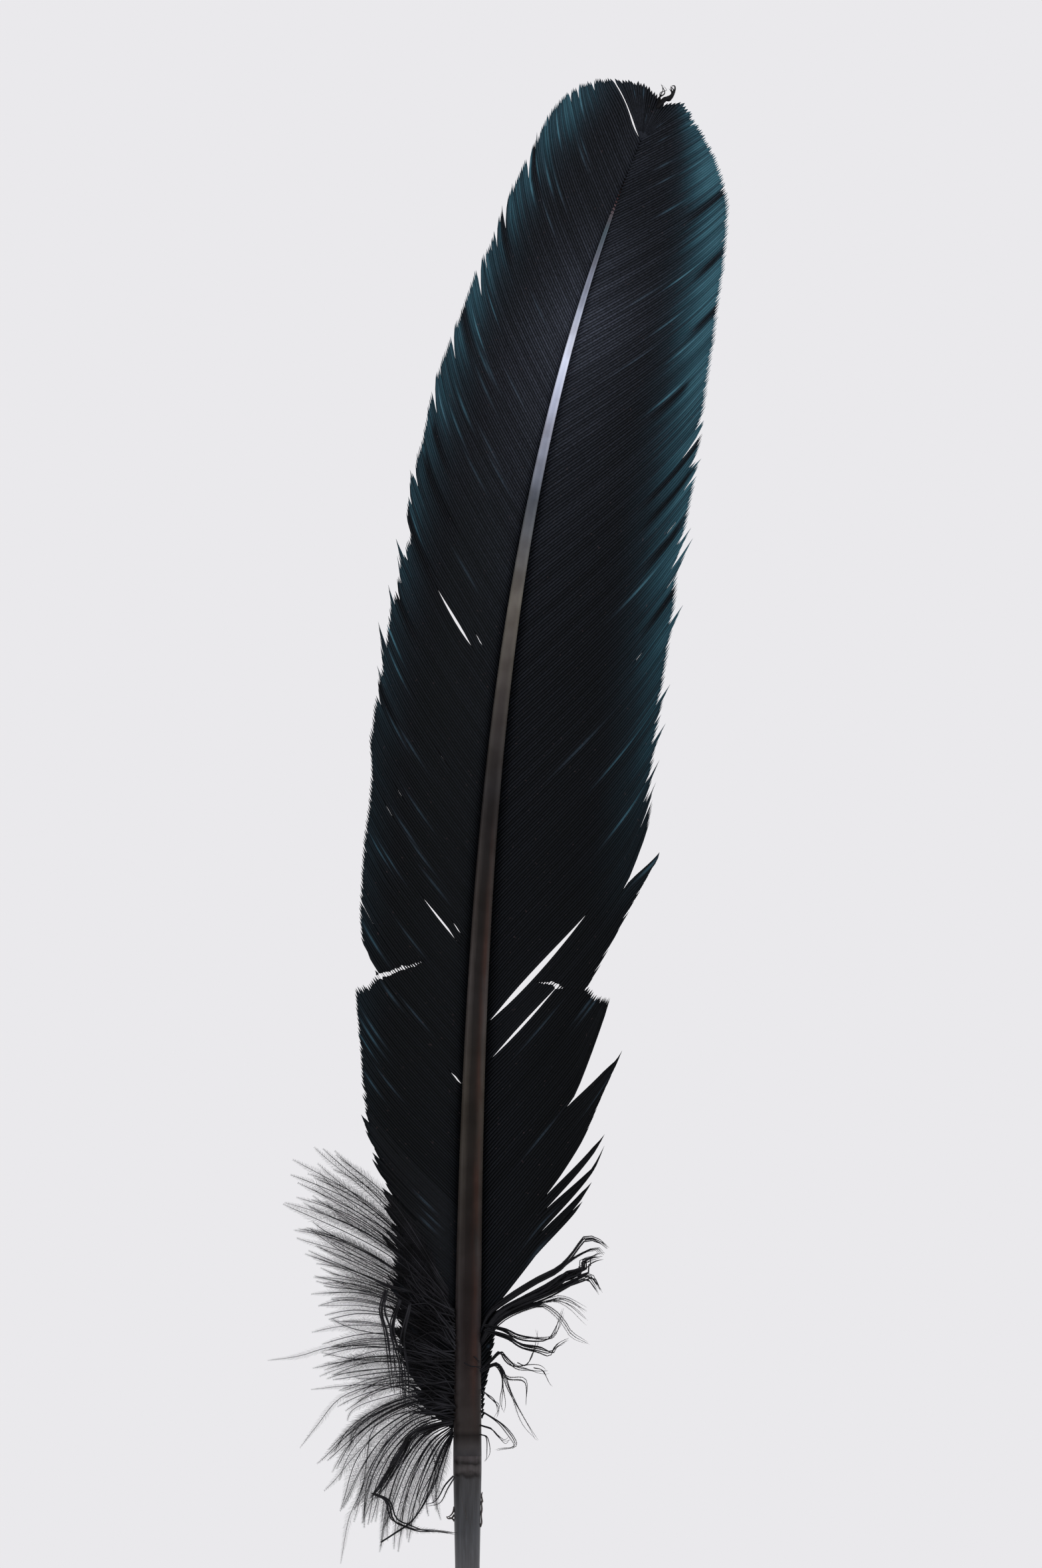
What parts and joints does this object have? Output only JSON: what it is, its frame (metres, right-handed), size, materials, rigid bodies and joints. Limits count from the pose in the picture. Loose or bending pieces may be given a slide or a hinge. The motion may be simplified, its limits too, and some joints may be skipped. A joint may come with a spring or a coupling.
{
  "type": "quill pen",
  "caption": "Quill pen: a long curved feather with two vanes and downy base, whose hollow barrel is cut to a slit two-tined nib for writing with ink.",
  "frame": {"origin": "on the barrel's axis, at the middle of its straight round length, which is the grip", "axes": "+Z along the barrel from the nib to the feather's tip; -Y is the ventral side, with the shaft's groove and the nib's scoop; +X is the wide vane"},
  "size_m": [0.0995, 0.0175, 0.3656],
  "materials": {
    "barrel_horn": "dull translucent horn, grey brown",
    "shaft_horn": "satin horn, dark grey brown",
    "pith_foam": "matt dry foam",
    "dry_membrane": "papery, translucent",
    "vane_barbs": "near black with a blue green sheen at the edges",
    "down_barbs": "soft grey down",
    "sheath_skin": "dry flaking skin"
  },
  "bodies": {
    "quill": {"barrel": "barrel_horn", "curl_right_lower": "down_barbs", "curl_right_upper": "down_barbs", "down_left_crest": "down_barbs", "down_left_hanging": "down_barbs", "down_left_lower": "down_barbs", "down_left_middle": "down_barbs", "down_left_upper": "down_barbs", "left_vane_1": "vane_barbs", "left_vane_2": "vane_barbs", "left_vane_3": "vane_barbs", "left_vane_4": "vane_barbs", "left_vane_5": "vane_barbs", "left_vane_6": "vane_barbs", "left_vane_7": "vane_barbs", "left_vane_8": "vane_barbs", "pulp_membrane": "dry_membrane", "rachis": "shaft_horn", "rachis_pith": "pith_foam", "right_vane_1": "vane_barbs", "right_vane_2": "vane_barbs", "right_vane_3": "vane_barbs", "right_vane_4": "vane_barbs", "right_vane_5": "vane_barbs", "right_vane_6": "vane_barbs", "right_vane_7": "vane_barbs", "right_vane_8": "vane_barbs", "sheath_scrap_left": "sheath_skin", "sheath_scrap_right": "sheath_skin", "tip_wisp": "vane_barbs", "wisps_right": "down_barbs"},
    "left_tine": {"left_tine": "barrel_horn"},
    "right_tine": {"right_tine": "barrel_horn"}
  },
  "joints": [
    {"name": "left_tine_flex", "type": "hinge", "parent": "quill", "child": "left_tine", "pos_m": [-0.0009, 0.0021, -0.03112], "axis": [0.85, 0.5268, 0], "range_deg": [0, 5], "stiffness_Nm_per_rad": 0.05},
    {"name": "right_tine_flex", "type": "hinge", "parent": "quill", "child": "right_tine", "pos_m": [0.0009, 0.0021, -0.03112], "axis": [0.85, -0.5268, 0], "range_deg": [0, 5], "stiffness_Nm_per_rad": 0.05}
  ]
}
